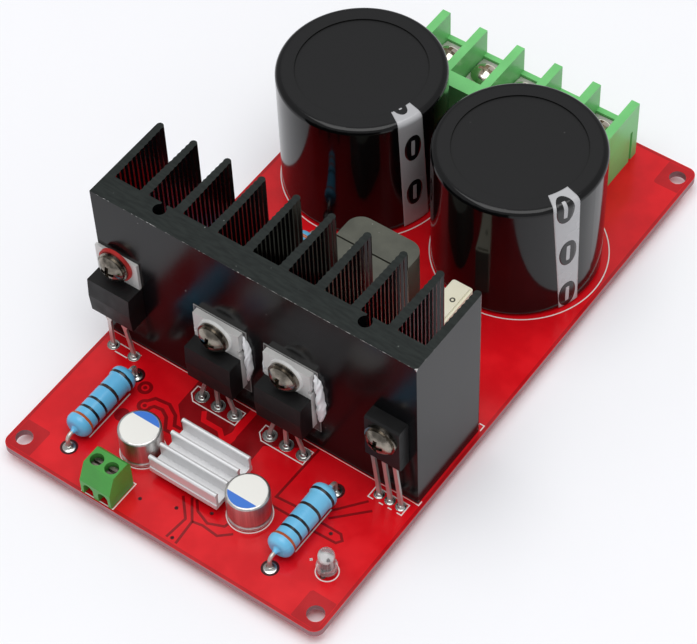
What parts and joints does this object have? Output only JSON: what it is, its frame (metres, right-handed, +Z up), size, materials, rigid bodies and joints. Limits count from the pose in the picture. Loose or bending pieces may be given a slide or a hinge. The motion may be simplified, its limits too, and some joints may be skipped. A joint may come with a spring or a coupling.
{
  "type": "audio amplifier board",
  "caption": "Audio amplifier circuit board with a finned black heatsink, power transistors, reservoir capacitors, a screw barrier strip for power and a small screw terminal for the input.",
  "frame": {"origin": "under the middle of the board, on the plane that the longest pins and the screw heads stand on", "axes": "+X to the right seen from the input edge, +Y from the input edge to the power edge, +Z up"},
  "size_m": [0.07, 0.125, 0.0427],
  "materials": {
    "solder_mask": "gloss",
    "black_aluminium": "satin",
    "screw_steel": "gloss",
    "tinned_metal": "satin",
    "black_moulding": "matte",
    "plated_tab": "satin",
    "red_fibre": "matte",
    "insulating_sheet": "satin",
    "white_bush": "satin",
    "blue_lacquer": "gloss",
    "can_aluminium": "satin",
    "bright_aluminium": "satin",
    "green_plastic": "satin",
    "pale_green_plastic": "satin",
    "black_sleeve": "gloss",
    "grey_core": "matte",
    "cream_lacquer": "satin",
    "clear_lens": "gloss"
  },
  "bodies": {
    "board": {"circuit_board": "solder_mask", "main_heatsink": "black_aluminium", "heatsink_screws": "screw_steel", "thermal_switch_case": "black_moulding", "thermal_switch_bracket": "plated_tab", "thermal_switch_leads": "tinned_metal", "thermal_switch_washer": "red_fibre", "thermal_switch_screw": "screw_steel", "driver_transistor_case": "black_moulding", "driver_transistor_leads": "tinned_metal", "driver_transistor_screw": "screw_steel", "left_resistor_body": "blue_lacquer", "right_resistor_body": "blue_lacquer", "rear_resistor_body": "blue_lacquer", "resistor_leads": "tinned_metal", "left_polymer_cap": "can_aluminium", "right_polymer_cap": "can_aluminium", "polymer_cap_leads": "tinned_metal", "driver_chip_case": "black_moulding", "driver_chip_pins": "tinned_metal", "chip_heatsink": "bright_aluminium", "input_terminal_housing": "green_plastic", "input_contacts": "tinned_metal", "power_terminal_housing": "pale_green_plastic", "power_contacts": "tinned_metal", "left_reservoir_cap": "black_sleeve", "right_reservoir_cap": "black_sleeve", "reservoir_cap_pins": "tinned_metal", "inductor_core": "grey_core", "inductor_leads": "tinned_metal", "film_capacitor": "cream_lacquer", "led_lens": "clear_lens", "led_leads": "tinned_metal", "left_mosfet_case": "black_moulding", "left_mosfet_tab": "plated_tab", "left_mosfet_leads": "tinned_metal", "left_mosfet_insulator": "insulating_sheet", "left_mosfet_bush": "white_bush", "left_mosfet_screw": "screw_steel", "right_mosfet_case": "black_moulding", "right_mosfet_tab": "plated_tab", "right_mosfet_leads": "tinned_metal", "right_mosfet_insulator": "insulating_sheet", "right_mosfet_bush": "white_bush", "right_mosfet_screw": "screw_steel"},
    "clamp_1": {"power_clamp_1": "tinned_metal"},
    "clamp_screw_1": {"power_screw_1": "screw_steel"},
    "clamp_2": {"power_clamp_2": "tinned_metal"},
    "clamp_screw_2": {"power_screw_2": "screw_steel"},
    "clamp_3": {"power_clamp_3": "tinned_metal"},
    "clamp_screw_3": {"power_screw_3": "screw_steel"},
    "clamp_4": {"power_clamp_4": "tinned_metal"},
    "clamp_screw_4": {"power_screw_4": "screw_steel"},
    "clamp_5": {"power_clamp_5": "tinned_metal"},
    "clamp_screw_5": {"power_screw_5": "screw_steel"},
    "input_cage_body_1": {"input_cage_1": "tinned_metal"},
    "input_screw_body_1": {"input_screw_1": "screw_steel"},
    "input_cage_body_2": {"input_cage_2": "tinned_metal"},
    "input_screw_body_2": {"input_screw_2": "screw_steel"}
  },
  "joints": [
    {"name": "power_lift_1", "type": "slide", "parent": "board", "child": "clamp_1", "axis": [0, 0, 1], "range_m": [0, 0.00225]},
    {"name": "power_turn_1", "type": "hinge", "parent": "clamp_1", "child": "clamp_screw_1", "pos_m": [-0.0175, 0.05405, 0.0121], "axis": [0, 0, 1], "range_deg": [0, 1625]},
    {"name": "power_lift_2", "type": "slide", "parent": "board", "child": "clamp_2", "axis": [0, 0, 1], "range_m": [0, 0.00225]},
    {"name": "power_turn_2", "type": "hinge", "parent": "clamp_2", "child": "clamp_screw_2", "pos_m": [-0.00885, 0.05405, 0.0121], "axis": [0, 0, 1], "range_deg": [0, 1625]},
    {"name": "power_lift_3", "type": "slide", "parent": "board", "child": "clamp_3", "axis": [0, 0, 1], "range_m": [0, 0.00225]},
    {"name": "power_turn_3", "type": "hinge", "parent": "clamp_3", "child": "clamp_screw_3", "pos_m": [-0.0002, 0.05405, 0.0121], "axis": [0, 0, 1], "range_deg": [0, 1625]},
    {"name": "power_lift_4", "type": "slide", "parent": "board", "child": "clamp_4", "axis": [0, 0, 1], "range_m": [0, 0.00225]},
    {"name": "power_turn_4", "type": "hinge", "parent": "clamp_4", "child": "clamp_screw_4", "pos_m": [0.00845, 0.05405, 0.0121], "axis": [0, 0, 1], "range_deg": [0, 1625]},
    {"name": "power_lift_5", "type": "slide", "parent": "board", "child": "clamp_5", "axis": [0, 0, 1], "range_m": [0, 0.00225]},
    {"name": "power_turn_5", "type": "hinge", "parent": "clamp_5", "child": "clamp_screw_5", "pos_m": [0.0171, 0.05405, 0.0121], "axis": [0, 0, 1], "range_deg": [0, 1625]},
    {"name": "input_turn_1", "type": "hinge", "parent": "board", "child": "input_screw_body_1", "pos_m": [-0.01465, -0.0589, 0.0097], "axis": [0, 0, -1], "range_deg": [0, 1085]},
    {"name": "input_lift_1", "type": "slide", "parent": "board", "child": "input_cage_body_1", "axis": [0, 0, 1], "range_m": [0, 0.0012]},
    {"name": "input_turn_2", "type": "hinge", "parent": "board", "child": "input_screw_body_2", "pos_m": [-0.01135, -0.0589, 0.0097], "axis": [0, 0, -1], "range_deg": [0, 1085]},
    {"name": "input_lift_2", "type": "slide", "parent": "board", "child": "input_cage_body_2", "axis": [0, 0, 1], "range_m": [0, 0.0012]}
  ],
  "couplings": [
    {"joint": "power_turn_1", "follows": "power_lift_1", "rad_per_m": 12566},
    {"joint": "power_turn_2", "follows": "power_lift_2", "rad_per_m": 12566},
    {"joint": "power_turn_3", "follows": "power_lift_3", "rad_per_m": 12566},
    {"joint": "power_turn_4", "follows": "power_lift_4", "rad_per_m": 12566},
    {"joint": "power_turn_5", "follows": "power_lift_5", "rad_per_m": 12566},
    {"joint": "input_turn_1", "follows": "input_lift_1", "rad_per_m": 15708},
    {"joint": "input_turn_2", "follows": "input_lift_2", "rad_per_m": 15708}
  ]
}
